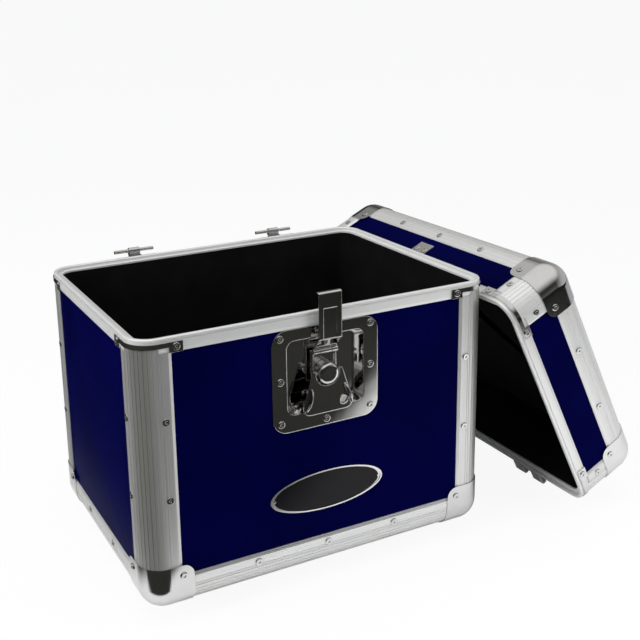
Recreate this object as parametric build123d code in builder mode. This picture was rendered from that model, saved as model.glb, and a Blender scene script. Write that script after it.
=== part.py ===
"""Record carrying case: an open box on rubber feet and its lift-off lid, leaning beside it.

Both halves are tubs of laminated panels held in rounded aluminium extrusions. Each tub is drawn
in its own frame: z = 0 is the closed face, the rim is at z = height, the front is -Y and the
hinge side +Y. The base's frame stands on its feet; the lid's is turned and leant on the box.
Millimetres, +Z up, with the origin on the floor under the middle of the base.
"""
import os
from dataclasses import dataclass
from math import acos, atan2, cos, hypot, radians, sin, tan

from build123d import *

# ---- the box ----
CASE_WIDTH = 362.0
CASE_DEPTH = 265.0
BASE_HEIGHT = 257.0
LID_HEIGHT = 82.5
EDGE_RADIUS = 22.5          # outer rounding of the extrusions

# ---- extrusions and panels ----
LEG = 34.0                  # width of an extrusion's leg, from the outer corner
SKIN = 1.5                  # outer wall of an extrusion
FLANGE = 1.0                # inner wall of an extrusion
WEB = 1.5                   # wall that closes the panel slot
SLOT_DEPTH = 11.0
PANEL = 6.5
LINING = 2.0
BEVEL = 3.0                 # sloped strip along the free edge of a leg
BEVEL_EDGE = 0.5            # what the slope leaves of the skin
STEP_GROOVE = 0.7           # fine groove between the leg and the rounded part
RIB_COUNT = 9
RIB_RADIUS = 0.4
RIB_START = 184.0           # degrees round the edge's centre
RIB_SPAN = 82.0
LINING_GAP = 0.2

# ---- rim ----
RIM_BAND = 13.8
LIP_WIDTH = 4.2
LIP_HEIGHT = 3.6
LIP_ROUND = 1.3
RIM_GROOVE = 0.8
TONGUE_TOP = 9.0            # from the rim's top to the notch for the corner extrusion's tongue
TONGUE_GAP = 0.15
BRACKET_STRAP = 4.6         # height of the strap that wraps the rim's corner
BRACKET_TOP_GAP = 4.4       # from the rim's top to the strap
BRACKET_EAR = 12.5
BRACKET_RIVET = 38.0        # from the outer corner
PROUD = 1.0                 # sheet thickness of ball corners and brackets, outside the extrusions

# ---- ball corners ----
CAP = 44.5
CAP_TIP_RADIUS = 10.5
CAP_RIVET = 34.5
EXTRUSION_GAP = 0.5         # the extrusions stop this far past a leg's width, under the ball corner

# ---- rivets ----
RIVET_HEAD_RADIUS = 3.5
RIVET_HEAD = 1.1
RIVET_SHANK_RADIUS = 2.0
RIVET_DIMPLE_RADIUS = 1.3
RIVET_DIMPLE = 0.7
RIVET_EDGE = 0.77           # rounding of a head
LEG_RIVET = 26.0            # from the outer corner to a rivet in a leg
LONG_PITCH = 73.0           # rivets along the long edges
SHORT_PITCH = 74.0          # rivets along the short edges
BASE_LEG_RIVETS = (109.0, 182.0)
LID_LEG_RIVETS = (55.8,)
BRACKET_RIVET_DROP = 8.7

# ---- feet ----
FOOT_HEIGHT = 14.0          # below the extrusions
FOOT_RADIUS = 17.0
FOOT_BOTTOM_RADIUS = 15.0
FOOT_INSET = 60.0
FOOT_WELL_RADIUS = 7.0
FOOT_WELL = 8.0
FOOT_SCREW_RADIUS = 2.2
FOOT_SCREW_HEAD_RADIUS = 4.5
FOOT_SCREW_HEAD = 2.5

# ---- badge ----
BADGE_WIDTH = 119.0
BADGE_HEIGHT = 39.0
BADGE_LEVEL = 80.5
BADGE_THICKNESS = 1.0
BADGE_RING = 1.8
BADGE_RING_RISE = 0.5
BADGE_PIN_REACH = 55.0
BADGE_PIN_RADIUS = 1.1
BADGE_PIN_HEAD = 0.5

# ---- recessed latch; "proud" is measured outward from the dish's flange ----
LATCH_AXIS = BASE_HEIGHT - 60.0      # height of the spindle
DISH_SHEET = 1.2
DISH_WIDTH = 109.4
DISH_BOTTOM = LATCH_AXIS - 51.5
DISH_TOP = LATCH_AXIS + 46.0
DISH_CORNER = 15.0
POCKET_WIDTH = 79.6
POCKET_BOTTOM = LATCH_AXIS - 35.5
POCKET_TOP = LATCH_AXIS + 35.0
POCKET_CORNER = 8.0
POCKET_SLOPE = 4.0          # how far each side wall leans in by the floor
POCKET_DEPTH = 11.3
DISH_RIVET_SIDE = 46.5
DISH_RIVET_LEVELS = (LATCH_AXIS - 42.0, LATCH_AXIS - 1.5, LATCH_AXIS + 39.0)
DISH_RIVET_BOTTOM = LATCH_AXIS - 45.5
DISH_RIVET_TOP = LATCH_AXIS + 40.0
CUTOUT_GAP = 0.3
SPINDLE_RADIUS = 4.0
SPINDLE_TAIL = 1.6
SPINDLE_DISC_RADIUS = 9.6
SPINDLE_SEAT_RADIUS = 7.6
RUNNING_GAP = 0.05
SLIDE_GAP = 0.3
THROW = 2.25                # eccentric offset; the drive plate moves twice this
ECCENTRIC_RADIUS = 5.0
ECCENTRIC_SWAY = 0.5        # how far a crank's path leaves a straight ratio
DISC_BACK = -11.0
DISC_FRONT = -8.0
DRIVE_BACK = -7.7
DRIVE_FRONT = -5.7
HUB_BACK = -5.4
HUB_FRONT = 3.6
HUB_RADIUS = 10.2
DOME_HEIGHT = 3.6
DRIVE_WIDTH = 24.8
DRIVE_SIDE = 1.5
DRIVE_SIDE_FRONT = -3.2     # behind the sweep of the wing's ears
DRIVE_SIDE_BOTTOM = LATCH_AXIS + 3.0
DRIVE_FOOT = 4.0            # plate left under the slot
KNUCKLE_LEVEL = LATCH_AXIS + 20.0
KNUCKLE_PROUD = -2.0
KNUCKLE_RADIUS = 2.6
HOOK_PIN_RADIUS = 1.3
HOOK_WIDTH = 23.5
HOOK_EYE_WIDTH = 12.0
HOOK_SHEET = 2.0
HOOK_FRONT = 9.0
HOOK_TOP = LATCH_AXIS + 78.0
HOOK_BEND = LATCH_AXIS + 34.5        # where the flat plate starts to slope in
HOOK_NECK = 3.2             # back of the neck above the pin
HOOK_TIP = 4.6
HOOK_RECESS_WIDTH = 13.6
HOOK_RECESS_TOP = LATCH_AXIS + 63.0
HOOK_RECESS_DEPTH = 1.1
WING_BACK = 2.0
WING_SHEET = 1.5
WING_TOP_HALF = 15.0
WING_BOTTOM_HALF = 28.0
WING_REACH = 38.0           # from the axis to the wing's lower edge
WING_NOTCH = 12.3
WING_CORNER = 7.0
WING_EAR_INNER = 12.4
WING_EAR = 1.3
WING_EAR_RADIUS = 2.8
WING_PIN_RADIUS = 1.3
WING_PIN_HALF = 14.1
WING_HOLE_RADIUS = 3.5
WING_HOLE_RIM = 1.1
WING_HOLE_SIDE = 16.0
WING_HOLE_DROP = 28.5
FIN_LENGTH = 21.0
FIN_HEIGHT = 6.5
FIN_SHEET = 1.2
FIN_DROP = 23.0
FIN_SIDE = 20.3

# ---- lift-off hinges and keeper ----
HINGE_SIDE = 84.5
HINGE_REACH = 10.5          # pin behind the back wall
HINGE_RISE = 3.4            # pin above the rim
HINGE_PIN_RADIUS = 1.9
HINGE_LEAF_WIDTH = 44.0
HINGE_LEAF = 1.5
HINGE_LEAF_REACH = 16.0     # leaf beyond the rim band
HINGE_HOOK_WIDTH = 14.5
HINGE_KNUCKLE_WIDTH = 12.0
HINGE_HOOK_GAP = 0.1
HINGE_TIP_ANGLE = 55.0      # how far the open hook's tip curls past upright, toward the wall
HINGE_RIVET_SIDE = 14.0
KEEPER_WIDTH = 24.0
KEEPER_BOTTOM = 14.2        # above the lid's rim plane
KEEPER_TOP = 39.0
KEEPER_SHEET = 1.5
KEEPER_LIP = 6.4
KEEPER_RIVET = 28.0
KEEPER_RIVET_SIDE = 7.0

# ---- handle on the lid ----
HANDLE_HALF = 62.0
HANDLE_RISE = 10.0          # pivot above the top panel
HANDLE_SWING = 34.0
HANDLE_ROD_RADIUS = 3.0
HANDLE_BEND = 9.0
GRIP_RADIUS = 8.8
GRIP_LENGTH = 104.0
HANDLE_FOOT = 30.0
HANDLE_FOOT_SHEET = 1.5
HANDLE_EAR = 8.0
HANDLE_STUB = 6.0
HANDLE_STUB_BEND = 5.0
GRIP_ROUND = 2.9

# ---- where the lid rests ----
LID_TILT = 25.7             # least lean of the lid's rim from upright
LEAN_DROP = 15.0            # least drop from the box's rim to the end of the lid that leans on it
LID_FORWARD = 27.7          # how far the lid's end stands before the box's front
LEAN_GAP = 0.5              # between the lid's rim and the box, before the lip's rounding

PANEL_INNER = SKIN + PANEL
WALL = PANEL_INNER + LINING
PANEL_STOP = LEG - SLOT_DEPTH
EXTRUSION_END = LEG + EXTRUSION_GAP
FLANGE_FACE = SKIN - DISH_SHEET      # depth of the latch dish's flange behind the outer face


def lid_seat():
    """The lid's frame: it stands on its hinge hooks and leans on the box with its keeper side."""
    length = CASE_DEPTH + HINGE_REACH
    highest = FOOT_HEIGHT + BASE_HEIGHT - LEAN_DROP - HINGE_RISE
    reach = min(1, highest / hypot(length, HINGE_RISE))
    tilt = max(radians(LID_TILT), acos(reach) - atan2(HINGE_RISE, length))
    hinge_v = CASE_DEPTH / 2 + HINGE_REACH
    x = CASE_WIDTH / 2 + LEAN_GAP + CASE_DEPTH / 2 * sin(tilt)
    y = (CASE_WIDTH - CASE_DEPTH) / 2 - LID_FORWARD
    z = HINGE_RISE + hinge_v * cos(tilt) - HINGE_RISE * sin(tilt)
    toward_top = Vector(cos(tilt), 0, sin(tilt))
    top_centre = Vector(x, y, z) + toward_top * LID_HEIGHT
    return Plane(origin=top_centre, x_dir=(0, 1, 0), z_dir=-toward_top)


@dataclass
class Tub:
    """One half of the case."""
    name: str
    height: float
    closed_face: str
    leg_rivets: tuple
    seat: Plane


BASE = Tub("base", BASE_HEIGHT, "bottom", BASE_LEG_RIVETS, Plane(origin=(0, 0, FOOT_HEIGHT)))
LID = Tub("lid", LID_HEIGHT, "top", LID_LEG_RIVETS, lid_seat())


def finish(piece, name, seat):
    """Set a piece drawn in its tub's frame in its place, label it and write it."""
    with BuildPart(seat) as placed:
        add(piece.part)
    placed.part.label = name
    export_step(placed.part, f"parts/{name}.step")


# ---- rivets ----

def on_front(x, z):
    return Location((x, -CASE_DEPTH / 2, z), (90, 0, 0))


def on_back(x, z):
    return Location((x, CASE_DEPTH / 2, z), (-90, 0, 0))


def on_left(y, z):
    return Location((-CASE_WIDTH / 2, y, z), (0, -90, 0))


def on_right(y, z):
    return Location((CASE_WIDTH / 2, y, z), (0, 90, 0))


def on_closed(x, y):
    return Location((x, y, 0), (180, 0, 0))


def leg_rivet_spots(tub):
    """Places of the rivets in the extrusions' legs, with z pointing out of the face."""
    spots = []
    across = CASE_WIDTH / 2 - LEG_RIVET
    along = CASE_DEPTH / 2 - LEG_RIVET
    for level in tub.leg_rivets:
        for side in (-1, 1):
            spots += [on_front(side * across, level), on_back(side * across, level)]
            spots += [on_left(side * along, level), on_right(side * along, level)]
    for step in (-1, 0, 1):
        x = step * LONG_PITCH
        spots += [on_front(x, LEG_RIVET), on_back(x, LEG_RIVET)]
        spots += [on_closed(x, -along), on_closed(x, along)]
    for step in (-1, 1):
        y = step * SHORT_PITCH / 2
        spots += [on_left(y, LEG_RIVET), on_right(y, LEG_RIVET)]
        spots += [on_closed(-across, y), on_closed(across, y)]
    return spots


def proud_rivet_spots(tub):
    """Places of the rivets in the ball corners and rim brackets, on the sheet's outer face."""
    spots = []
    raise_by = Location((0, 0, PROUD))
    x_cap = CASE_WIDTH / 2 - CAP_RIVET
    y_cap = CASE_DEPTH / 2 - CAP_RIVET
    x_rim = CASE_WIDTH / 2 - BRACKET_RIVET
    y_rim = CASE_DEPTH / 2 - BRACKET_RIVET
    z_rim = tub.height - BRACKET_RIVET_DROP
    for side in (-1, 1):
        spots += [on_front(side * x_cap, CAP_RIVET), on_back(side * x_cap, CAP_RIVET)]
        spots += [on_left(side * y_cap, CAP_RIVET), on_right(side * y_cap, CAP_RIVET)]
        spots += [on_closed(side * x_cap, -y_cap), on_closed(side * x_cap, y_cap)]
        spots += [on_front(side * x_rim, z_rim), on_back(side * x_rim, z_rim)]
        spots += [on_left(side * y_rim, z_rim), on_right(side * y_rim, z_rim)]
    return [spot * raise_by for spot in spots]


def drill(spots, depth):
    """Clear the rivet holes in the part being built."""
    with Locations(*spots):
        Cylinder(RIVET_SHANK_RADIUS, depth, align=(Align.CENTER, Align.CENTER, Align.MAX),
                 mode=Mode.SUBTRACT)


def drill_tub(tub):
    drill(leg_rivet_spots(tub), PANEL_INNER)
    drill(proud_rivet_spots(tub), PANEL_INNER + PROUD)


def make_rivet(shank):
    """A blind rivet, its head's seat at z = 0 and its shank going down."""
    with BuildPart() as rivet:
        Cylinder(RIVET_HEAD_RADIUS, RIVET_HEAD, align=(Align.CENTER, Align.CENTER, Align.MIN))
        fillet(rivet.edges().group_by(Axis.Z)[-1], RIVET_EDGE)
        Cylinder(RIVET_SHANK_RADIUS, shank, align=(Align.CENTER, Align.CENTER, Align.MAX))
        with Locations((0, 0, RIVET_HEAD)):
            Cylinder(RIVET_DIMPLE_RADIUS, RIVET_DIMPLE, mode=Mode.SUBTRACT,
                     align=(Align.CENTER, Align.CENTER, Align.MAX))
    return rivet.part


def make_rivets(tub, extra):
    """Every body rivet of a tub, with the extra (spots, shank) groups of its fittings."""
    groups = [(leg_rivet_spots(tub), PANEL_INNER), (proud_rivet_spots(tub), PANEL_INNER + PROUD)]
    with BuildPart() as rivets:
        for spots, shank in groups + extra:
            with Locations(*spots):
                add(make_rivet(shank))
    finish(rivets, f"{tub.name}_rivets", tub.seat)


# ---- panels, extrusions, rim ----

def make_long_panel(tub, name, side, cutters):
    """Front or back panel, held in the slots of the extrusions round it."""
    top = tub.height - LIP_HEIGHT - WEB
    with BuildPart() as panel:
        with Locations((0, side * (CASE_DEPTH / 2 - SKIN - PANEL / 2), (top + PANEL_STOP) / 2)):
            Box(CASE_WIDTH - 2 * PANEL_STOP, PANEL, top - PANEL_STOP)
        drill_tub(tub)
        for cutter in cutters:
            add(cutter, mode=Mode.SUBTRACT)
    finish(panel, f"{tub.name}_{name}_panel", tub.seat)


def make_short_panel(tub, name, side):
    """Left or right panel."""
    top = tub.height - LIP_HEIGHT - WEB
    with BuildPart() as panel:
        with Locations((side * (CASE_WIDTH / 2 - SKIN - PANEL / 2), 0, (top + PANEL_STOP) / 2)):
            Box(PANEL, CASE_DEPTH - 2 * PANEL_STOP, top - PANEL_STOP)
        drill_tub(tub)
    finish(panel, f"{tub.name}_{name}_panel", tub.seat)


def make_closed_panel(tub, cutter):
    """Bottom of the base or top of the lid, with the holes of what is fastened to it."""
    with BuildPart() as panel:
        with Locations((0, 0, SKIN + PANEL / 2)):
            Box(CASE_WIDTH - 2 * PANEL_STOP, CASE_DEPTH - 2 * PANEL_STOP, PANEL)
        drill_tub(tub)
        add(cutter, mode=Mode.SUBTRACT)
    finish(panel, f"{tub.name}_{tub.closed_face}_panel", tub.seat)


def make_extrusion(tub, name, plane, length, tongue=0):
    """A rounded two-slot extrusion: the plane's origin is its outer corner, x and y its legs.

    The tongue is the rounded skin alone, running on past the far end.
    """
    inner = PANEL_INNER + FLANGE
    with BuildPart() as extrusion:
        with BuildSketch(plane):
            with BuildLine():
                Polyline((EDGE_RADIUS, 0), (LEG - BEVEL, 0), (LEG, SKIN - BEVEL_EDGE), (LEG, SKIN),
                         (EDGE_RADIUS, SKIN))
                CenterArc((EDGE_RADIUS, EDGE_RADIUS), EDGE_RADIUS - SKIN, 180, 90)
                Polyline((SKIN, EDGE_RADIUS), (SKIN, LEG), (SKIN - BEVEL_EDGE, LEG),
                         (0, LEG - BEVEL), (0, EDGE_RADIUS))
                CenterArc((EDGE_RADIUS, EDGE_RADIUS), EDGE_RADIUS, 180, 90)
            make_face()
            lowest = (Align.MIN, Align.MIN)
            with Locations((PANEL_STOP - WEB, SKIN / 2)):
                Rectangle(WEB, inner - SKIN / 2, align=lowest)
            with Locations((SKIN / 2, PANEL_STOP - WEB)):
                Rectangle(inner - SKIN / 2, WEB, align=lowest)
            with Locations((PANEL_INNER, PANEL_INNER)):
                Rectangle(LEG - PANEL_INNER, FLANGE, align=lowest)
                Rectangle(FLANGE, LEG - PANEL_INNER, align=lowest)
            with Locations((EDGE_RADIUS, EDGE_RADIUS)):
                with PolarLocations(EDGE_RADIUS, RIB_COUNT, RIB_START, RIB_SPAN, endpoint=True):
                    Circle(RIB_RADIUS, mode=Mode.SUBTRACT)
            with Locations((EDGE_RADIUS + STEP_GROOVE, 0), (0, EDGE_RADIUS + STEP_GROOVE)):
                Rectangle(STEP_GROOVE, STEP_GROOVE, mode=Mode.SUBTRACT)
        extrude(amount=length)
        if tongue:
            with BuildSketch(plane.offset(length)):
                with Locations((EDGE_RADIUS, EDGE_RADIUS)):
                    Circle(EDGE_RADIUS)
                    Circle(EDGE_RADIUS - SKIN, mode=Mode.SUBTRACT)
                    with PolarLocations(EDGE_RADIUS, RIB_COUNT, RIB_START, RIB_SPAN, endpoint=True):
                        Circle(RIB_RADIUS, mode=Mode.SUBTRACT)
                reach = EDGE_RADIUS - TONGUE_GAP
                Rectangle(reach, reach, align=lowest, mode=Mode.INTERSECT)
            extrude(amount=tongue)
        drill_tub(tub)
    finish(extrusion, name, tub.seat)


def make_corner_extrusions(tub):
    """The four upright extrusions, from the ball corners to the rim's brackets."""
    length = tub.height - RIM_BAND - EXTRUSION_END
    tongue = RIM_BAND - TONGUE_TOP - TONGUE_GAP
    half_w, half_d = CASE_WIDTH / 2, CASE_DEPTH / 2
    corners = (("front_left", -half_w, -half_d, (1, 0, 0)),
               ("front_right", half_w, -half_d, (0, 1, 0)),
               ("back_right", half_w, half_d, (-1, 0, 0)),
               ("back_left", -half_w, half_d, (0, -1, 0)))
    for name, x, y, leg in corners:
        plane = Plane(origin=(x, y, EXTRUSION_END), x_dir=leg, z_dir=(0, 0, 1))
        make_extrusion(tub, f"{tub.name}_corner_extrusion_{name}", plane, length, tongue)


def make_edge_extrusions(tub):
    """The four extrusions round the closed face, between the ball corners."""
    half_w, half_d = CASE_WIDTH / 2, CASE_DEPTH / 2
    start_x, start_y = EXTRUSION_END - half_w, EXTRUSION_END - half_d
    edges = (("front", (start_x, -half_d, 0), (0, 1, 0), (1, 0, 0)),
             ("back", (start_x, half_d, 0), (0, 0, 1), (1, 0, 0)),
             ("left", (-half_w, start_y, 0), (0, 0, 1), (0, 1, 0)),
             ("right", (half_w, start_y, 0), (-1, 0, 0), (0, 1, 0)))
    for name, origin, leg, run in edges:
        plane = Plane(origin=origin, x_dir=leg, z_dir=run)
        length = -2 * (start_x if run[0] else start_y)
        make_extrusion(tub, f"{tub.name}_edge_extrusion_{name}", plane, length)


def make_rim(tub):
    """The rim extrusion: a channel over the panels' edges with a rounded lip, bent into a loop.

    Its outer wall is notched round the corners for the corner extrusions' tongues.
    """
    top = tub.height
    inner = PANEL_INNER + FLANGE
    groove_top = RIM_GROOVE - LIP_HEIGHT
    with BuildSketch(Plane.XY.offset(top)) as outline:
        RectangleRounded(CASE_WIDTH, CASE_DEPTH, EDGE_RADIUS)
    loop = outline.sketch.face().outer_wire()
    start, run = loop @ 0, loop % 0
    with BuildPart() as rim:
        with BuildSketch(Plane(origin=start, x_dir=Vector(0, 0, 1).cross(run), z_dir=run)) as cut:
            with BuildLine():
                Polyline((0, BEVEL - RIM_BAND), (0, -LIP_HEIGHT), (RIM_GROOVE, -LIP_HEIGHT),
                         (RIM_GROOVE, groove_top), (0, groove_top), (0, 0), (LIP_WIDTH, 0),
                         (LIP_WIDTH, -LIP_HEIGHT), (inner, -LIP_HEIGHT), (inner, -RIM_BAND),
                         (PANEL_INNER, -RIM_BAND), (PANEL_INNER, -LIP_HEIGHT - WEB),
                         (SKIN, -LIP_HEIGHT - WEB), (SKIN, -RIM_BAND),
                         (SKIN - BEVEL_EDGE, -RIM_BAND), close=True)
            make_face()
            fillet(cut.vertices().group_by(Axis.Y)[-1], LIP_ROUND)
        sweep(path=loop)
        with BuildSketch(Plane.XY.offset(top - RIM_BAND)):
            RectangleRounded(CASE_WIDTH, CASE_DEPTH, EDGE_RADIUS)
            RectangleRounded(CASE_WIDTH - 2 * SKIN, CASE_DEPTH - 2 * SKIN, EDGE_RADIUS - SKIN,
                             mode=Mode.SUBTRACT)
            Rectangle(CASE_WIDTH - 2 * EDGE_RADIUS, CASE_DEPTH + EDGE_RADIUS, mode=Mode.SUBTRACT)
            Rectangle(CASE_WIDTH + EDGE_RADIUS, CASE_DEPTH - 2 * EDGE_RADIUS, mode=Mode.SUBTRACT)
        extrude(amount=RIM_BAND - TONGUE_TOP, mode=Mode.SUBTRACT)
        drill(proud_rivet_spots(tub), PANEL_INNER + PROUD)
    finish(rim, f"{tub.name}_rim", tub.seat)


def make_rim_brackets(tub):
    """Four straps round the rim's corners, each with an ear at both ends."""
    reach = BRACKET_RIVET + BRACKET_EAR / 2
    strap_top = tub.height - BRACKET_TOP_GAP
    ear_bottom = tub.height - RIM_BAND
    inner_w, inner_d = CASE_WIDTH - 2 * reach, CASE_DEPTH - 2 * reach
    ear_start = reach - BRACKET_EAR
    with BuildPart() as brackets:
        with BuildSketch(Plane.XY.offset(ear_bottom)):
            RectangleRounded(CASE_WIDTH + 2 * PROUD, CASE_DEPTH + 2 * PROUD, EDGE_RADIUS + PROUD)
            RectangleRounded(CASE_WIDTH, CASE_DEPTH, EDGE_RADIUS, mode=Mode.SUBTRACT)
            Rectangle(inner_w, CASE_DEPTH + EDGE_RADIUS, mode=Mode.SUBTRACT)
            Rectangle(CASE_WIDTH + EDGE_RADIUS, inner_d, mode=Mode.SUBTRACT)
        extrude(amount=strap_top - ear_bottom)
        with BuildSketch(Plane.XY.offset(ear_bottom)):
            for side_x in (-1, 1):
                for side_y in (-1, 1):
                    with Locations((side_x * (CASE_WIDTH / 2 - ear_start),
                                    side_y * (CASE_DEPTH / 2 - ear_start))):
                        corner = (Align.MIN if side_x > 0 else Align.MAX,
                                  Align.MIN if side_y > 0 else Align.MAX)
                        Rectangle(2 * ear_start, 2 * ear_start, align=corner)
        extrude(amount=strap_top - BRACKET_STRAP - ear_bottom, mode=Mode.SUBTRACT)
        drill(proud_rivet_spots(tub), PANEL_INNER + PROUD)
    finish(brackets, f"{tub.name}_rim_brackets", tub.seat)


def make_ball_corner(side_x, side_y):
    """A pressed corner: three square faces that meet in a ball, each with a rounded inner tip."""
    x, y = side_x * CASE_WIDTH / 2, side_y * CASE_DEPTH / 2
    outer = CAP + PROUD
    block = (Align.MAX if side_x > 0 else Align.MIN, Align.MAX if side_y > 0 else Align.MIN,
             Align.MIN)
    with BuildPart() as core:
        with Locations((x, y, 0)):
            Box(2 * CAP, 2 * CAP, 2 * CAP, align=block)
        corner = core.vertices().sort_by_distance((x, y, 0))[0]
        edges = core.edges().sort_by_distance(corner)[:3]
        fillet(edges, EDGE_RADIUS)
    with BuildPart() as cap:
        with Locations((x + side_x * PROUD, y + side_y * PROUD, -PROUD)):
            Box(outer, outer, outer, align=block)
        corner = cap.vertices().sort_by_distance((x, y, 0))[0]
        edges = cap.edges().sort_by_distance(corner)[:3]
        fillet(edges, EDGE_RADIUS + PROUD)
        add(core.part, mode=Mode.SUBTRACT)
        tips = [(x + side_x * PROUD, y - side_y * CAP, CAP), (x - side_x * CAP, y, CAP),
                (x - side_x * CAP, y - side_y * CAP, -PROUD)]
        for tip in tips:
            edge = cap.edges().filter_by(lambda e: e.length < 2 * PROUD).sort_by_distance(tip)[0]
            fillet(edge, CAP_TIP_RADIUS)
    return cap.part


def make_ball_corners(tub, one_node):
    """The ball corners of the closed face, in one group or in a node each."""
    names = {(-1, -1): "front_left", (1, -1): "front_right", (1, 1): "back_right",
             (-1, 1): "back_left"}
    caps = {name: make_ball_corner(*sides) for sides, name in names.items()}
    if one_node:
        with BuildPart() as group:
            for cap in caps.values():
                add(cap)
            drill(proud_rivet_spots(tub), PANEL_INNER + PROUD)
        finish(group, f"{tub.name}_ball_corners", tub.seat)
        return
    for name, cap in caps.items():
        with BuildPart() as single:
            add(cap)
            drill(proud_rivet_spots(tub), PANEL_INNER + PROUD)
        finish(single, f"{tub.name}_ball_corner_{name}", tub.seat)


# ---- lining and feet ----

def make_lining(tub, cutters, with_pad):
    """Felt lining of the walls, thicker between the extrusions, and the pad on the closed face."""
    inset = PANEL_INNER + FLANGE
    clear = LEG + LINING_GAP
    corner = EDGE_RADIUS - inset
    top = tub.height - LIP_HEIGHT - WEB
    band = tub.height - RIM_BAND - LINING_GAP
    with BuildPart() as walls:
        with BuildSketch(Plane.XY.offset(WALL)):
            RectangleRounded(CASE_WIDTH - 2 * inset, CASE_DEPTH - 2 * inset, corner)
        extrude(amount=top - WALL)
        with BuildSketch(Plane.XY.offset(clear)):
            Rectangle(CASE_WIDTH - 2 * PANEL_INNER, CASE_DEPTH - 2 * clear)
            Rectangle(CASE_WIDTH - 2 * clear, CASE_DEPTH - 2 * PANEL_INNER)
        extrude(amount=band - clear)
        with BuildSketch(Plane.XY.offset(WALL)):
            RectangleRounded(CASE_WIDTH - 2 * WALL, CASE_DEPTH - 2 * WALL, EDGE_RADIUS - WALL)
        extrude(amount=top - WALL, mode=Mode.SUBTRACT)
        for cutter in cutters:
            add(cutter, mode=Mode.SUBTRACT)
        if with_pad:
            add(make_pad())
    finish(walls, f"{tub.name}_lining", tub.seat)


def make_pad():
    """The pad on the closed panel's inner face, thinner over the extrusions' flanges."""
    inset = PANEL_INNER + FLANGE
    clear = LEG + LINING_GAP
    with BuildPart() as pad:
        with BuildSketch(Plane.XY.offset(inset)):
            RectangleRounded(CASE_WIDTH - 2 * inset, CASE_DEPTH - 2 * inset, EDGE_RADIUS - inset)
        extrude(amount=LINING - FLANGE)
        with BuildSketch(Plane.XY.offset(PANEL_INNER)):
            Rectangle(CASE_WIDTH - 2 * clear, CASE_DEPTH - 2 * clear)
        extrude(amount=FLANGE)
    return pad.part


def make_floor_pad(tub):
    with BuildPart() as pad:
        add(make_pad())
    finish(pad, f"{tub.name}_floor_pad", tub.seat)


def foot_spots():
    """The feet's places on the bottom panel's underside."""
    x = CASE_WIDTH / 2 - FOOT_INSET
    y = CASE_DEPTH / 2 - FOOT_INSET
    return [Location((sx * x, sy * y, SKIN), (180, 0, 0)) for sx in (-1, 1) for sy in (-1, 1)]


def make_feet(seat):
    """Four rubber feet with a well for the screw, and the screws."""
    height = FOOT_HEIGHT + SKIN
    base = (Align.CENTER, Align.CENTER, Align.MIN)
    with BuildPart() as feet:
        with Locations(*foot_spots()):
            Cone(FOOT_RADIUS, FOOT_BOTTOM_RADIUS, height, align=base)
            Cylinder(FOOT_SCREW_RADIUS, height, align=base, mode=Mode.SUBTRACT)
        with Locations(*[spot * Location((0, 0, height - FOOT_WELL)) for spot in foot_spots()]):
            Cylinder(FOOT_WELL_RADIUS, FOOT_WELL, align=base, mode=Mode.SUBTRACT)
    finish(feet, "rubber_feet", seat)
    with BuildPart() as screws:
        with Locations(*[spot * Location((0, 0, height - FOOT_WELL)) for spot in foot_spots()]):
            Cylinder(FOOT_SCREW_HEAD_RADIUS, FOOT_SCREW_HEAD, align=base)
            Cylinder(FOOT_SCREW_RADIUS, height - FOOT_WELL + PANEL,
                     align=(Align.CENTER, Align.CENTER, Align.MAX))
    finish(screws, "foot_screws", seat)


def foot_screw_cutter():
    """A cutter for the screws' holes in the bottom panel."""
    with BuildPart() as cutter:
        with Locations(*foot_spots()):
            Cylinder(FOOT_SCREW_RADIUS, PANEL, align=(Align.CENTER, Align.CENTER, Align.MAX))
    return cutter.part


# ---- badge ----

def make_badge(seat):
    """A bare oval plate with a raised ring, and its two pins."""
    face = Plane(origin=(0, SKIN - CASE_DEPTH / 2, BADGE_LEVEL), x_dir=(1, 0, 0), z_dir=(0, -1, 0))
    pins = [(-BADGE_PIN_REACH, 0), (BADGE_PIN_REACH, 0)]
    with BuildPart() as badge:
        with BuildSketch(face):
            Ellipse(BADGE_WIDTH / 2, BADGE_HEIGHT / 2)
        extrude(amount=BADGE_THICKNESS)
        with BuildSketch(face.offset(BADGE_THICKNESS)):
            Ellipse(BADGE_WIDTH / 2, BADGE_HEIGHT / 2)
            Ellipse(BADGE_WIDTH / 2 - BADGE_RING, BADGE_HEIGHT / 2 - BADGE_RING, mode=Mode.SUBTRACT)
        extrude(amount=BADGE_RING_RISE)
    finish(badge, "name_badge", seat)
    with BuildPart() as badge_pins:
        with BuildSketch(face.offset(BADGE_THICKNESS)):
            with Locations(*pins):
                Circle(BADGE_PIN_RADIUS)
        extrude(amount=BADGE_PIN_HEAD)
        fillet(badge_pins.faces().filter_by(Axis.Y).sort_by(Axis.Y)[0:2].edges(),
               BADGE_PIN_HEAD / 2)
    finish(badge_pins, "badge_pins", seat)


# ---- latch ----

def proud_plane(proud, level=0.0):
    """A sketch plane facing out of the front, this far proud of the latch dish's flange."""
    y = FLANGE_FACE - CASE_DEPTH / 2 - proud
    return Plane(origin=(0, y, level), x_dir=(1, 0, 0), z_dir=(0, -1, 0))


def side_plane(x, level=0.0):
    """A sketch plane across the latch: x runs out of the dish's flange and y up."""
    y = FLANGE_FACE - CASE_DEPTH / 2
    return Plane(origin=(x, y, level), x_dir=(0, -1, 0), z_dir=(-1, 0, 0))


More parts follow.
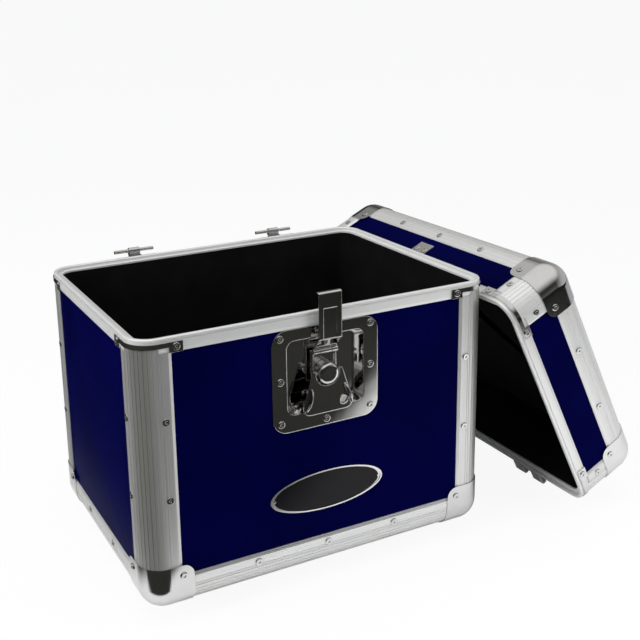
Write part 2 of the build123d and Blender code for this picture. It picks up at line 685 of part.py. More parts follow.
def pocket_solid(grow):
    """The dish's pocket as a solid, grown all round by a sheet's thickness."""
    width, height = POCKET_WIDTH, POCKET_TOP - POCKET_BOTTOM
    middle = (POCKET_TOP + POCKET_BOTTOM) / 2
    floor_corner = POCKET_CORNER - POCKET_SLOPE / 2
    with BuildPart() as pocket:
        with BuildSketch(proud_plane(0, middle)):
            RectangleRounded(width + 2 * grow, height + 2 * grow, POCKET_CORNER + grow)
        with BuildSketch(proud_plane(-POCKET_DEPTH - grow, middle)):
            RectangleRounded(width - 2 * POCKET_SLOPE + 2 * grow,
                             height - 2 * POCKET_SLOPE + 2 * grow, floor_corner + grow)
        loft()
    return pocket.part


def pocket_cutout():
    """The hole that the dish's pocket needs in the panel and the lining."""
    width = POCKET_WIDTH + 2 * (DISH_SHEET + CUTOUT_GAP)
    height = POCKET_TOP - POCKET_BOTTOM + 2 * (DISH_SHEET + CUTOUT_GAP)
    with BuildPart() as cutout:
        with BuildSketch(proud_plane(0, (POCKET_TOP + POCKET_BOTTOM) / 2)):
            RectangleRounded(width, height, POCKET_CORNER + DISH_SHEET + CUTOUT_GAP)
        extrude(amount=-2 * WALL)
    return cutout.part


def dish_rivet_spots():
    """Rivets down both sides of the dish's flange and one under the pocket."""
    out = Location((0, 0, -FLANGE_FACE))
    spots = [on_front(side * DISH_RIVET_SIDE, level) for side in (-1, 1)
             for level in DISH_RIVET_LEVELS]
    spots += [on_front(0, DISH_RIVET_BOTTOM), on_front(0, DISH_RIVET_TOP)]
    return [spot * out for spot in spots]


def make_dish(seat):
    """The pressed dish: a flange on the panel and a sloped pocket with the spindle's hole."""
    with BuildPart() as dish:
        with BuildSketch(proud_plane(-DISH_SHEET, (DISH_TOP + DISH_BOTTOM) / 2)):
            RectangleRounded(DISH_WIDTH, DISH_TOP - DISH_BOTTOM, DISH_CORNER)
        extrude(amount=DISH_SHEET)
        add(pocket_solid(DISH_SHEET))
        add(pocket_solid(0), mode=Mode.SUBTRACT)
        with BuildSketch(proud_plane(0, LATCH_AXIS)):
            Circle(SPINDLE_RADIUS + RUNNING_GAP)
        extrude(amount=-POCKET_DEPTH - 2 * DISH_SHEET, mode=Mode.SUBTRACT)
        drill(dish_rivet_spots(), PANEL_INNER - FLANGE_FACE)
    finish(dish, "latch_dish", seat)
    with BuildPart() as rivets:
        with Locations(*dish_rivet_spots()):
            add(make_rivet(PANEL_INNER - FLANGE_FACE))
    finish(rivets, "latch_rivets", seat)


def make_spindle(seat):
    """Tail, shaft, disc, eccentric and domed hub in one turned piece, on the latch's axis."""
    floor = -POCKET_DEPTH - DISH_SHEET
    with BuildPart() as spindle:
        with BuildSketch(proud_plane(floor - SLIDE_GAP - SPINDLE_TAIL, LATCH_AXIS)):
            Circle(SPINDLE_SEAT_RADIUS)
        extrude(amount=SPINDLE_TAIL)
        with BuildSketch(proud_plane(floor - SLIDE_GAP, LATCH_AXIS)):
            Circle(SPINDLE_RADIUS)
        extrude(amount=DISC_BACK - floor + SLIDE_GAP)
        with BuildSketch(proud_plane(DISC_BACK, LATCH_AXIS)):
            Circle(SPINDLE_DISC_RADIUS)
        extrude(amount=DISC_FRONT - DISC_BACK)
        with BuildSketch(proud_plane(DISC_FRONT, LATCH_AXIS - THROW)):
            Circle(ECCENTRIC_RADIUS)
        extrude(amount=HUB_BACK - DISC_FRONT)
        with BuildSketch(proud_plane(HUB_BACK, LATCH_AXIS)):
            Circle(HUB_RADIUS)
        extrude(amount=HUB_FRONT + DOME_HEIGHT - HUB_BACK)
        fillet(spindle.faces().sort_by(Axis.Y)[0].edges(), DOME_HEIGHT)
        with Locations(Location((0, proud_plane(0).origin.Y, LATCH_AXIS), (0, 90, 0))):
            Cylinder(WING_PIN_RADIUS, 2 * WING_EAR_INNER, mode=Mode.SUBTRACT)
    finish(spindle, "latch_spindle", seat)
    with BuildPart() as pin:
        with Locations(Location((0, proud_plane(0).origin.Y, LATCH_AXIS), (0, 90, 0))):
            Cylinder(WING_PIN_RADIUS, 2 * WING_PIN_HALF)
    finish(pin, "wing_pin", seat)


def wing_half(drop):
    """Half the wing's width at a distance below the axis."""
    return WING_TOP_HALF + (WING_BOTTOM_HALF - WING_TOP_HALF) * drop / WING_REACH


def make_wing(seat):
    """The folding thumb wing: a flared plate with two ears on the pin, two fins and an eyelet."""
    out = proud_plane(0).origin.Y
    slant = Vector(WING_BOTTOM_HALF - WING_TOP_HALF, 0, -WING_REACH).normalized()
    with BuildPart() as wing:
        with BuildSketch(proud_plane(WING_BACK, LATCH_AXIS)) as outline:
            with BuildLine():
                Polyline((-WING_TOP_HALF, WING_EAR_RADIUS), (-wing_half(WING_REACH), -WING_REACH),
                         (wing_half(WING_REACH), -WING_REACH), (WING_TOP_HALF, WING_EAR_RADIUS),
                         close=True)
            make_face()
            fillet(outline.vertices().group_by(Axis.Y)[0], WING_CORNER)
            Circle(WING_NOTCH, mode=Mode.SUBTRACT)
            with Locations((0, WING_NOTCH)):
                Rectangle(2 * WING_EAR_INNER, 2 * WING_NOTCH, mode=Mode.SUBTRACT)
            with Locations((WING_HOLE_SIDE, -WING_HOLE_DROP)):
                Circle(WING_HOLE_RADIUS, mode=Mode.SUBTRACT)
        extrude(amount=WING_SHEET)
        with BuildSketch(proud_plane(WING_BACK + WING_SHEET, LATCH_AXIS)):
            with Locations((WING_HOLE_SIDE, -WING_HOLE_DROP)):
                Circle(WING_HOLE_RADIUS + WING_HOLE_RIM)
                Circle(WING_HOLE_RADIUS, mode=Mode.SUBTRACT)
        extrude(amount=BEVEL_EDGE)
        for side in (-1, 1):
            with BuildSketch(side_plane(side * WING_EAR_INNER, LATCH_AXIS)):
                Circle(WING_EAR_RADIUS)
                with Locations((0, -WING_EAR_RADIUS)):
                    Rectangle(WING_BACK + WING_SHEET, 2 * WING_EAR_RADIUS,
                              align=(Align.MIN, Align.MIN))
                Circle(WING_PIN_RADIUS + RUNNING_GAP, mode=Mode.SUBTRACT)
            extrude(amount=-side * WING_EAR)
            middle = Vector(side * FIN_SIDE, out - WING_BACK - WING_SHEET, LATCH_AXIS - FIN_DROP)
            along = Vector(side * slant.X, 0, slant.Z)
            with BuildSketch(Plane(origin=middle, x_dir=along, z_dir=along.cross(Vector(0, -1, 0)))):
                Ellipse(FIN_LENGTH / 2, FIN_HEIGHT)
                with Locations((0, -WING_SHEET / 2)):
                    Rectangle(FIN_LENGTH, 2 * FIN_HEIGHT, mode=Mode.SUBTRACT,
                              align=(Align.CENTER, Align.MAX))
            extrude(amount=FIN_SHEET / 2, both=True)
    finish(wing, "latch_wing", seat)


def make_drive(seat):
    """The lifting plate: a slot for the eccentric, two side flanges and the hook's knuckles."""
    half = DRIVE_WIDTH / 2
    slot_height = 2 * (ECCENTRIC_RADIUS + ECCENTRIC_SWAY + SLIDE_GAP / 2)
    slot_width = 2 * (ECCENTRIC_RADIUS + THROW + SLIDE_GAP)
    bottom = LATCH_AXIS - THROW - slot_height / 2 - DRIVE_FOOT
    out = proud_plane(0).origin.Y
    eye_side = (HOOK_EYE_WIDTH / 2 + SLIDE_GAP, half)
    with BuildPart() as drive:
        with BuildSketch(proud_plane(DRIVE_BACK)):
            with Locations((0, bottom)):
                Rectangle(DRIVE_WIDTH, KNUCKLE_LEVEL - bottom, align=(Align.CENTER, Align.MIN))
            with Locations((0, LATCH_AXIS - THROW)):
                Rectangle(slot_width, slot_height, mode=Mode.SUBTRACT)
        extrude(amount=DRIVE_FRONT - DRIVE_BACK)
        for side in (-1, 1):
            with BuildSketch(proud_plane(DRIVE_BACK)):
                with Locations((side * half, DRIVE_SIDE_BOTTOM)):
                    Rectangle(DRIVE_SIDE, KNUCKLE_LEVEL - DRIVE_SIDE_BOTTOM,
                              align=(Align.MAX if side > 0 else Align.MIN, Align.MIN))
            extrude(amount=DRIVE_SIDE_FRONT - DRIVE_BACK)
            with BuildSketch(side_plane(side * eye_side[0], KNUCKLE_LEVEL)):
                with Locations((KNUCKLE_PROUD, 0)):
                    Circle(KNUCKLE_RADIUS)
                with Locations((KNUCKLE_PROUD, 0)):
                    Rectangle(KNUCKLE_PROUD - DRIVE_BACK, KNUCKLE_RADIUS,
                              align=(Align.MAX, Align.MAX))
            extrude(amount=-side * (eye_side[1] - eye_side[0]))
        with Locations(Location((0, out - KNUCKLE_PROUD, KNUCKLE_LEVEL), (0, 90, 0))):
            Cylinder(HOOK_PIN_RADIUS, 2 * DRIVE_WIDTH, mode=Mode.SUBTRACT)
    finish(drive, "latch_drive_plate", seat)
    with BuildPart() as pin:
        with Locations(Location((0, out - KNUCKLE_PROUD, KNUCKLE_LEVEL), (0, 90, 0))):
            Cylinder(HOOK_PIN_RADIUS, DRIVE_WIDTH)
    finish(pin, "hook_pin", seat)


def make_hook(seat):
    """The hook: an eye on the pin, a sloped neck, a flat plate with a pressed panel and its tip."""
    out = proud_plane(0).origin.Y
    back = HOOK_FRONT - HOOK_SHEET
    neck = HOOK_SHEET / 2
    with BuildPart() as hook:
        with BuildSketch(side_plane(0)) as section:
            with BuildLine():
                Polyline((KNUCKLE_PROUD + neck, KNUCKLE_LEVEL + KNUCKLE_RADIUS),
                         (HOOK_FRONT, HOOK_BEND), (HOOK_FRONT, HOOK_TOP), (HOOK_TIP, HOOK_TOP),
                         (HOOK_TIP, HOOK_TOP - HOOK_SHEET), (back, HOOK_TOP - HOOK_SHEET),
                         (back, HOOK_BEND + neck), (KNUCKLE_PROUD - neck, KNUCKLE_LEVEL + HOOK_NECK),
                         close=True)
            make_face()
            fillet(section.vertices().sort_by_distance((HOOK_FRONT, HOOK_TOP))[0], HOOK_SHEET)
        extrude(amount=HOOK_WIDTH / 2, both=True)
        with BuildSketch(side_plane(0)):
            with Locations((KNUCKLE_PROUD, KNUCKLE_LEVEL)):
                Circle(KNUCKLE_RADIUS)
                Rectangle(HOOK_SHEET, 2 * KNUCKLE_RADIUS, align=(Align.CENTER, Align.MIN))
        extrude(amount=HOOK_EYE_WIDTH / 2, both=True)
        with Locations(Location((0, out - KNUCKLE_PROUD, KNUCKLE_LEVEL), (0, 90, 0))):
            Cylinder(HOOK_PIN_RADIUS + RUNNING_GAP, HOOK_WIDTH, mode=Mode.SUBTRACT)
        recess = HOOK_RECESS_TOP - HOOK_BEND
        with BuildSketch(proud_plane(HOOK_FRONT - HOOK_RECESS_DEPTH, HOOK_BEND)):
            with Locations((0, recess / 2)):
                Rectangle(HOOK_RECESS_WIDTH, recess)
        extrude(amount=HOOK_RECESS_DEPTH, mode=Mode.SUBTRACT)
        with BuildSketch(proud_plane(back, HOOK_BEND + HOOK_SHEET)):
            with Locations((0, recess / 2)):
                Rectangle(HOOK_RECESS_WIDTH, recess)
        extrude(amount=-HOOK_RECESS_DEPTH)
    finish(hook, "latch_hook", seat)


# ---- hinges and keeper ----

def hinge_rivet_spots(level):
    """Two rivets through each hinge leaf, on its outer face."""
    out = Location((0, 0, HINGE_LEAF))
    return [on_back(side * HINGE_SIDE + step * HINGE_RIVET_SIDE, level) * out
            for side in (-1, 1) for step in (-1, 1)]


def hinge_side_view(x, height):
    """A plane across the hinge: x runs out of the back wall, y up from the rim."""
    return Plane(origin=(x, CASE_DEPTH / 2, height), x_dir=(0, 1, 0), z_dir=(1, 0, 0))


def make_hinge_leaf(x, height):
    """A leaf on the back wall: flat over the rim band, padded out over the recessed panel."""
    reach = RIM_BAND + HINGE_LEAF_REACH
    with BuildPart() as leaf:
        with BuildSketch(hinge_side_view(x - HINGE_LEAF_WIDTH / 2, height)):
            with Locations((0, -reach)):
                Rectangle(HINGE_LEAF, reach - BEVEL_EDGE, align=(Align.MIN, Align.MIN))
            with Locations((-SKIN, -reach)):
                Rectangle(SKIN, HINGE_LEAF_REACH - LINING_GAP, align=(Align.MIN, Align.MIN))
        extrude(amount=HINGE_LEAF_WIDTH)
    return leaf.part


def make_base_hinges(tub):
    """Base halves: a leaf with one knuckle that holds a pin behind and above the rim."""
    eye = HINGE_RISE - HINGE_HOOK_GAP
    with BuildPart() as leaves:
        for side in (-1, 1):
            add(make_hinge_leaf(side * HINGE_SIDE, tub.height))
            start = side * HINGE_SIDE - HINGE_KNUCKLE_WIDTH / 2
            with BuildSketch(hinge_side_view(start, tub.height)):
                with BuildLine():
                    Polyline((0, -RIM_BAND), (HINGE_LEAF, -RIM_BAND), (HINGE_REACH + eye, 0),
                             (HINGE_REACH + eye, HINGE_RISE), (HINGE_REACH - eye, HINGE_RISE),
                             (HINGE_REACH - eye, -BEVEL_EDGE), (0, -BEVEL_EDGE), close=True)
                make_face()
                with Locations((HINGE_REACH, HINGE_RISE)):
                    Circle(eye)
                    Circle(HINGE_PIN_RADIUS, mode=Mode.SUBTRACT)
            extrude(amount=HINGE_KNUCKLE_WIDTH)
        drill(hinge_rivet_spots(tub.height - RIM_BAND - HINGE_LEAF_REACH / 2),
              PANEL_INNER + HINGE_LEAF)
    finish(leaves, "base_hinge_leaves", tub.seat)
    with BuildPart() as pins:
        with Locations(*[Location((side * HINGE_SIDE, CASE_DEPTH / 2 + HINGE_REACH,
                                   tub.height + HINGE_RISE), (0, 90, 0)) for side in (-1, 1)]):
            Cylinder(HINGE_PIN_RADIUS, HINGE_LEAF_WIDTH)
    finish(pins, "base_hinge_pins", tub.seat)


def make_lid_hooks(tub):
    """Lid halves: a leaf with two open hooks that cup the pin on both sides of its knuckle."""
    inner = HINGE_PIN_RADIUS + HINGE_HOOK_GAP
    outer = HINGE_RISE
    mouth = -HINGE_RISE - HINGE_REACH * tan(radians(HINGE_TIP_ANGLE))
    with BuildPart() as hooks:
        for side in (-1, 1):
            add(make_hinge_leaf(side * HINGE_SIDE, tub.height))
            with Locations((side * HINGE_SIDE, CASE_DEPTH / 2, tub.height)):
                Box(HINGE_LEAF_WIDTH, HINGE_LEAF, 2 * BEVEL_EDGE,
                    align=(Align.CENTER, Align.MIN, Align.MAX))
            for step in (-1, 1):
                middle = side * HINGE_SIDE + step * (HINGE_LEAF_WIDTH - HINGE_HOOK_WIDTH) / 2
                with BuildSketch(hinge_side_view(middle - HINGE_HOOK_WIDTH / 2, tub.height)):
                    with Locations((HINGE_REACH, -HINGE_RISE)):
                        Circle(outer)
                        Circle(inner, mode=Mode.SUBTRACT)
                    with BuildLine():
                        Polyline((HINGE_REACH, -HINGE_RISE), (HINGE_REACH, outer), (0, outer),
                                 (0, mouth), close=True)
                    make_face(mode=Mode.SUBTRACT)
                    with Locations((HINGE_LEAF / 2, 0)):
                        Rectangle(HINGE_REACH - HINGE_LEAF / 2, outer - inner,
                                  align=(Align.MIN, Align.MAX))
                extrude(amount=HINGE_HOOK_WIDTH)
        drill(hinge_rivet_spots(tub.height - RIM_BAND - HINGE_LEAF_REACH / 2),
              PANEL_INNER + HINGE_LEAF)
    finish(hooks, "lid_hinge_hooks", tub.seat)


def keeper_rivet_spots(tub):
    return [on_front(step * KEEPER_RIVET_SIDE, tub.height - KEEPER_RIVET) for step in (-1, 1)]


def make_keeper(tub):
    """The keeper: a plate on the lid's front panel with a lip for the latch's hook."""
    top = tub.height - KEEPER_BOTTOM
    side_view = Plane(origin=(0, -CASE_DEPTH / 2, top), x_dir=(0, -1, 0), z_dir=(-1, 0, 0))
    with BuildPart() as keeper:
        with BuildSketch(side_view):
            with Locations((-SKIN, 0)):
                Rectangle(SKIN, KEEPER_TOP - KEEPER_BOTTOM, align=(Align.MIN, Align.MAX))
                Rectangle(KEEPER_LIP + SKIN, KEEPER_SHEET, align=(Align.MIN, Align.MAX))
        extrude(amount=KEEPER_WIDTH / 2, both=True)
        drill(keeper_rivet_spots(tub), PANEL_INNER)
    finish(keeper, "lid_keeper", tub.seat)


# ---- handle ----

def handle_rivet_spots():
    """Two rivets through each handle bracket, on its foot's outer face."""
    level = SKIN - HANDLE_FOOT_SHEET
    return [Location((side * HANDLE_HALF, step * HANDLE_FOOT / 3, level), (180, 0, 0))
            for side in (-1, 1) for step in (-1, 1)]


def make_handle(seat):
    """Two brackets, a bent steel bail on their pivots and its grip, lying toward the hinge side."""
    pivot = SKIN - HANDLE_RISE
    reach = HANDLE_HALF + HANDLE_EAR / 2 + HANDLE_STUB
    inner = HANDLE_HALF - HANDLE_EAR / 2 - HANDLE_STUB / 2
    with BuildPart() as brackets:
        for side in (-1, 1):
            with Locations((side * HANDLE_HALF, 0, SKIN)):
                Box(HANDLE_FOOT / 2, HANDLE_FOOT, HANDLE_FOOT_SHEET,
                    align=(Align.CENTER, Align.CENTER, Align.MAX))
            start = side * HANDLE_HALF - HANDLE_EAR / 2
            with BuildSketch(Plane(origin=(start, 0, 0), x_dir=(0, 1, 0), z_dir=(1, 0, 0))):
                with Locations((0, pivot)):
                    Circle(2 * HANDLE_ROD_RADIUS)
                    Rectangle(4 * HANDLE_ROD_RADIUS, SKIN - HANDLE_FOOT_SHEET / 2 - pivot,
                              align=(Align.CENTER, Align.MIN))
                    Circle(HANDLE_ROD_RADIUS + RUNNING_GAP, mode=Mode.SUBTRACT)
            extrude(amount=HANDLE_EAR)
        drill(handle_rivet_spots(), PANEL_INNER)
    finish(brackets, "handle_brackets", seat)
    with BuildPart() as bail:
        with BuildLine() as bend:
            FilletPolyline((-inner, 0, pivot), (-reach, 0, pivot), (-reach, HANDLE_SWING, pivot),
                           (reach, HANDLE_SWING, pivot), (reach, 0, pivot), (inner, 0, pivot),
                           radius=[HANDLE_STUB_BEND, HANDLE_BEND, HANDLE_BEND, HANDLE_STUB_BEND])
        with BuildSketch(Plane(origin=bend.line @ 0, z_dir=bend.line % 0)):
            Circle(HANDLE_ROD_RADIUS)
        sweep()
    finish(bail, "handle_bail", seat)
    with BuildPart() as grip:
        with Locations(Location((0, HANDLE_SWING, pivot), (0, 90, 0))):
            Cylinder(GRIP_RADIUS, GRIP_LENGTH)
            fillet(grip.edges(), GRIP_ROUND)
            Cylinder(HANDLE_ROD_RADIUS, GRIP_LENGTH, mode=Mode.SUBTRACT)
    finish(grip, "handle_grip", seat)


def hinge_rivet_group(tub):
    """Rivets of the hinge leaves: their spots and the shank that reaches the panel's far face."""
    level = tub.height - RIM_BAND - HINGE_LEAF_REACH / 2
    return hinge_rivet_spots(level), PANEL_INNER + HINGE_LEAF


def rivet_cutter(groups):
    """The shanks of some rivets as a cutter."""
    with BuildPart() as cutter:
        for spots, shank in groups:
            with Locations(*spots):
                Cylinder(RIVET_SHANK_RADIUS, shank, align=(Align.CENTER, Align.CENTER, Align.MAX))
    return cutter.part


def make_base():
    hinge_rivets = hinge_rivet_group(BASE)
    dish_rivets = (dish_rivet_spots(), PANEL_INNER - FLANGE_FACE)
    make_long_panel(BASE, "front", -1, [pocket_cutout(), rivet_cutter([dish_rivets])])
    make_long_panel(BASE, "back", 1, [rivet_cutter([hinge_rivets])])
    make_short_panel(BASE, "left", -1)
    make_short_panel(BASE, "right", 1)
    make_closed_panel(BASE, foot_screw_cutter())
    make_corner_extrusions(BASE)
    make_edge_extrusions(BASE)
    make_rim(BASE)
    make_rim_brackets(BASE)
    make_ball_corners(BASE, one_node=False)
    make_rivets(BASE, [hinge_rivets])
    make_lining(BASE, [pocket_cutout()], with_pad=False)
    make_floor_pad(BASE)
    make_feet(BASE.seat)
    make_badge(BASE.seat)
    make_base_hinges(BASE)


def make_latch():
    make_dish(BASE.seat)
    make_spindle(BASE.seat)
    make_wing(BASE.seat)
    make_drive(BASE.seat)
    make_hook(BASE.seat)


def make_lid():
    hinge_rivets = hinge_rivet_group(LID)
    keeper_rivets = (keeper_rivet_spots(LID), PANEL_INNER)
    handle_rivets = (handle_rivet_spots(), PANEL_INNER)
    make_long_panel(LID, "front", -1, [rivet_cutter([keeper_rivets])])
    make_long_panel(LID, "back", 1, [rivet_cutter([hinge_rivets])])
    make_short_panel(LID, "left", -1)
    make_short_panel(LID, "right", 1)
    make_closed_panel(LID, rivet_cutter([handle_rivets]))
    make_corner_extrusions(LID)
    make_edge_extrusions(LID)
    make_rim(LID)
    make_rim_brackets(LID)
    make_ball_corners(LID, one_node=True)
    make_rivets(LID, [hinge_rivets, keeper_rivets, handle_rivets])
    make_lining(LID, [], with_pad=True)
    make_lid_hooks(LID)
    make_keeper(LID)
    make_handle(LID.seat)


os.makedirs("parts", exist_ok=True)
make_base()
make_latch()
make_lid()
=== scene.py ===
"""Looks of the record carrying case: navy laminate in satin aluminium, with chromed fittings."""
from math import cos, pi, radians, sin

import bmesh
import bpy
from mathutils import Matrix, Vector


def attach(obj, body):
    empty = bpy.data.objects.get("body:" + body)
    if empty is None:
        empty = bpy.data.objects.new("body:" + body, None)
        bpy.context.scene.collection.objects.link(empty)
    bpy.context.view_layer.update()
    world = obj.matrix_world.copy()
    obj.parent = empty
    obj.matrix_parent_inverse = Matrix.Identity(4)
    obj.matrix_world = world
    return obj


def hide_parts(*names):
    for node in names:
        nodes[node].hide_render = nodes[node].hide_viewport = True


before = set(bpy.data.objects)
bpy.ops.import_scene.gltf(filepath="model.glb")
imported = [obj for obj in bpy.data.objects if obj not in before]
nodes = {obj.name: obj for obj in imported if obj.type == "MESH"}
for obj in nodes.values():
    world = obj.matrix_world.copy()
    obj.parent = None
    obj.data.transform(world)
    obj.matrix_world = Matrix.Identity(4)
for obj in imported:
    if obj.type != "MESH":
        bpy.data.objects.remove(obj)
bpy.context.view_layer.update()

# ---- laminated panels ----
# Thin plywood faced with a deep navy laminate of low gloss, with a very fine pebble. The panels
# slide into the slots of the extrusions and are riveted there. Grain counts are marks per metre.
NAVY = (0.0008, 0.0010, 0.038, 1)
NAVY_DEEP = (0.0005, 0.0007, 0.026, 1)
CLOUDS = 9
CLOUD_RANGE = (0.3, 0.7)
PEBBLES = 2600
PEBBLE_DEPTH = 0.00004
PEBBLE_ROUGHNESS = 0.06
SCUFFS = 60
SCUFF_RANGE = (0.62, 0.8)
SCUFF_ROUGHNESS = 0.08
LAMINATE_ROUGHNESS = 0.16
LAMINATE_GLOSS = 0.003


class Wire:
    """One output of a shader node; arithmetic on it adds the Math nodes."""

    def __init__(self, finish, socket):
        self.finish = finish
        self.socket = socket

    def math(self, operation, *terms):
        return self.finish.node("ShaderNodeMath", dict(enumerate(terms)), operation=operation)

    def __add__(self, other):
        return self.math("ADD", self, other)

    def __sub__(self, other):
        return self.math("SUBTRACT", self, other)

    def __rsub__(self, other):
        return self.math("SUBTRACT", other, self)

    def __mul__(self, other):
        return self.math("MULTIPLY", self, other)

    def __truediv__(self, other):
        return self.math("DIVIDE", self, other)

    def __pow__(self, other):
        return self.math("POWER", self, other)

    __radd__ = __add__
    __rmul__ = __mul__

    def over(self, edge):
        """1 where the value is above the edge."""
        return self.math("GREATER_THAN", self, edge)

    def at_least(self, other):
        return self.math("MAXIMUM", self, other)

    def at_most(self, other):
        return self.math("MINIMUM", self, other)

    def size(self):
        """The value without its sign."""
        return self.math("ABSOLUTE", self)

    def within(self, low, high):
        """0 below low and 1 above high, smooth between."""
        return self.finish.node("ShaderNodeMapRange", {0: self, 1: low, 2: high},
                                interpolation_type="SMOOTHSTEP")


class Finish:
    """A finish under construction: a material, or a world from bpy.data.worlds."""

    def __init__(self, name, kept_in=bpy.data.materials):
        self.result = kept_in.new(name)
        self.result.use_nodes = True
        self.tree = self.result.node_tree
        self.tree.nodes.clear()

    def node(self, kind, feeds=(), out=0, **settings):
        """Add one node: its settings first, then the values or links of its sockets."""
        made = self.tree.nodes.new(kind)
        for name, value in settings.items():
            setattr(made, name, value)
        for name, value in dict(feeds).items():
            if isinstance(value, Wire):
                self.tree.links.new(value.socket, made.inputs[name])
            else:
                made.inputs[name].default_value = value
        return Wire(self, made.outputs[out])

    def place(self):
        return self.node("ShaderNodeTexCoord", out="Object")

    def axis(self, spot, direction):
        """How far a spot lies along a direction."""
        return self.node("ShaderNodeVectorMath", {0: spot, 1: direction}, out="Value",
                         operation="DOT_PRODUCT")

    def run(self, spot, direction, share=1):
        """The part of a spot that lies along a direction, or a share of that part."""
        return self.node("ShaderNodeVectorMath",
                         {0: direction, "Scale": self.axis(spot, direction) * share},
                         operation="SCALE")

    def drawn(self, spot, direction, keep):
        """The spot with its run along a direction shortened, for marks drawn out that way."""
        return self.node("ShaderNodeVectorMath",
                         {0: spot, 1: self.run(spot, direction, 1 - keep)}, operation="SUBTRACT")

    def grain(self, spot, scale, detail=2, roughness=0.5):
        return self.node("ShaderNodeTexNoise", {"Vector": spot, "Scale": scale, "Detail": detail,
                                                "Roughness": roughness})

    def mix(self, mask, first, second):
        """One colour passing to another with the mask."""
        return self.node("ShaderNodeMix", {0: mask, 6: first, 7: second}, out=2, data_type="RGBA")

    def relief(self, height, depth, strength=1, rounding=0):
        """A bump of that depth in metres, on edges rounded to a radius where one is given."""
        feeds = {"Height": height, "Distance": depth, "Strength": strength}
        if rounding:
            feeds["Normal"] = self.node("ShaderNodeBevel", {"Radius": rounding}, samples=6)
        return self.node("ShaderNodeBump", feeds)

    def close(self, shader, output="ShaderNodeOutputMaterial"):
        """Lead the last shader to the output."""
        last = self.tree.nodes.new(output)
        self.tree.links.new(shader.socket, last.inputs["Surface"])
        return self.result

    def surface(self, **sockets):
        """Close the finish with its shader; keywords name the sockets, with _ for a space."""
        feeds = {name.replace("_", " "): value for name, value in sockets.items()}
        return self.close(self.node("ShaderNodeBsdfPrincipled", feeds))


def laminate_finish():
    finish = Finish("navy_laminate")
    spot = finish.place()
    cloud = finish.grain(spot, CLOUDS, detail=3).within(*CLOUD_RANGE)
    pebble = finish.grain(spot, PEBBLES, detail=1)
    scuff = finish.grain(spot, SCUFFS, detail=6, roughness=0.7).within(*SCUFF_RANGE)
    return finish.surface(
        Base_Color=finish.mix(cloud, NAVY_DEEP, NAVY),
        Roughness=LAMINATE_ROUGHNESS + pebble * PEBBLE_ROUGHNESS + scuff * SCUFF_ROUGHNESS,
        Normal=finish.relief(pebble, PEBBLE_DEPTH, strength=0.35),
        Specular_IOR_Level=LAMINATE_GLOSS)


def dress(material, *names):
    """Give CAD nodes their finish."""
    for name in names:
        slots = nodes[name].data.materials
        if not len(slots):
            slots.append(material)
        for index in range(len(slots)):
            slots[index] = material


def named(start="", end=""):
    """The CAD nodes whose names start and end so."""
    return [name for name in nodes if name.startswith(start) and name.endswith(end)]


dress(laminate_finish(), *named(end="_panel"))

# ---- aluminium extrusions ----
# Rounded two-slot extrusions, satin anodised, with the fine lines of the die along their length.
# Four stand at each half's corners and four run round its closed face. The uprights' round backs
# are painted darker towards the middle of their bend: painted shade for the dark room they
# mirror.
ALUMINIUM = (0.83, 0.83, 0.815, 1)
ALUMINIUM_SHADE = (0.68, 0.68, 0.66, 1)
# Painted shade for the middle of the uprights' round backs.
RIB_PAINTED_SHADE = (0.40, 0.40, 0.365, 1)
ANODISED = 0.62
ALUMINIUM_GLOSS = 0.3
SATIN = 0.36
RIBS_FROM = (0.1585, 0.110)
RIBS_BEND = 0.014
RIB_PAINTED_SHADE_SHARE = 0.9
DIE_LINES = 900
DIE_LINE_KEEP = 0.006
DIE_LINE_DEPTH = 0.00003
DIE_LINE_ROUGHNESS = 0.1
DIE_BANDS = 150
LINE_SHARE = 0.6
TONE_RANGE = (0.3, 0.7)
SMUDGES = 26
SMUDGE_ROUGHNESS = 0.06
LID_TILT = radians(25.7)
UPRIGHT = (0, 0, 1)
ACROSS = (1, 0, 0)
DEEP = (0, 1, 0)
LID_UP = (-sin(LID_TILT), 0, cos(LID_TILT))
LID_OUT = (cos(LID_TILT), 0, sin(LID_TILT))


def extruded_finish(name, direction, roughness, metal=ANODISED, ribbed=False, bent=False):
    """Lines along the direction; in a bent piece they keep their level in that direction."""
    finish = Finish(name)
    spot = finish.place()
    if bent:
        drawn = finish.run(spot, direction)
    else:
        drawn = finish.drawn(spot, direction, DIE_LINE_KEEP)
    lines = finish.grain(drawn, DIE_LINES, detail=4, roughness=0.6)
    bands = finish.grain(drawn, DIE_BANDS)
    smudge = finish.grain(spot, SMUDGES, detail=4)
    tone = (lines * LINE_SHARE + bands * (1 - LINE_SHARE)).within(*TONE_RANGE)
    colour = finish.mix(tone, ALUMINIUM_SHADE, ALUMINIUM)
    # Painted shade: the round backs of the ribbed uprights darken towards the middle of their
    # bend, for the dark room they mirror.
    if ribbed:
        out_x = finish.axis(spot, ACROSS).size() - RIBS_FROM[0]
        out_y = finish.axis(spot, DEEP).size() - RIBS_FROM[1]
        rounded = out_x.within(0, RIBS_BEND) * out_y.within(0, RIBS_BEND)
        colour = finish.mix(rounded * RIB_PAINTED_SHADE_SHARE, colour, RIB_PAINTED_SHADE)
    return finish.surface(
        Base_Color=colour,
        Roughness=roughness + lines * DIE_LINE_ROUGHNESS + smudge * SMUDGE_ROUGHNESS,
        Metallic=metal,
        Specular_IOR_Level=ALUMINIUM_GLOSS,
        Normal=finish.relief(lines, DIE_LINE_DEPTH, strength=0.5))


